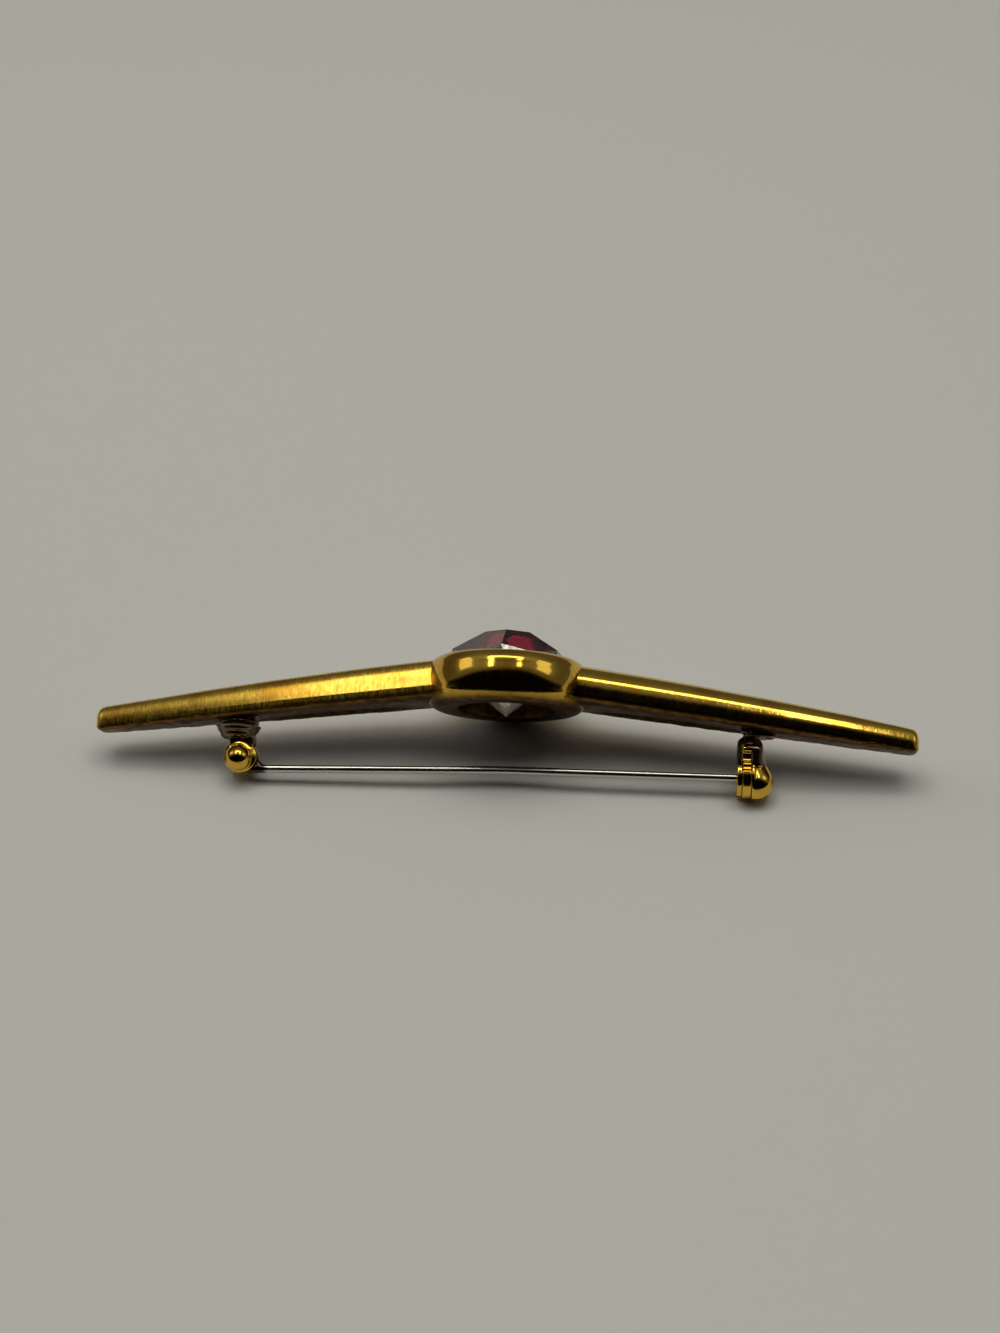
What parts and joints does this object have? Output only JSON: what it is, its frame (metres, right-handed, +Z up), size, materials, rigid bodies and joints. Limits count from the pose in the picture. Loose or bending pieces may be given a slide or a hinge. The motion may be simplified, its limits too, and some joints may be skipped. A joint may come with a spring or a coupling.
{
  "type": "bar brooch",
  "caption": "Gold-plated bar brooch with a round collar holding a faceted dark red glass stone, a hinged steel pin stem and a turning safety catch.",
  "frame": {"origin": "on the surface that the brooch rests on, under the middle of its box", "axes": "+X along the bar from the hinge's end to the catch's end, +Z up from the surface, +Y away from the pin stem's side, so the stone's face leans towards +Y and up"},
  "size_m": [0.08, 0.015, 0.0143],
  "materials": {
    "gold_plate": "polished",
    "red_glass": "polished",
    "pin_steel": "polished"
  },
  "bodies": {
    "brooch": {"bar": "gold_plate", "stone": "red_glass", "hinge_rivet": "pin_steel"},
    "pin": {"pin_stem": "pin_steel"},
    "rotor": {"catch_rotor": "gold_plate"}
  },
  "joints": [
    {"name": "pin_hinge", "type": "hinge", "parent": "brooch", "child": "pin", "pos_m": [-0.02544, -0.00485, 0.00231], "axis": [0.0034, 0.6182, -0.786], "range_deg": [0, 85]},
    {"name": "catch_turn", "type": "hinge", "parent": "brooch", "child": "rotor", "pos_m": [0.02374, -0.00532, 0.00215], "axis": [-1, 0, -0.0043], "range_deg": [0, 100]}
  ]
}
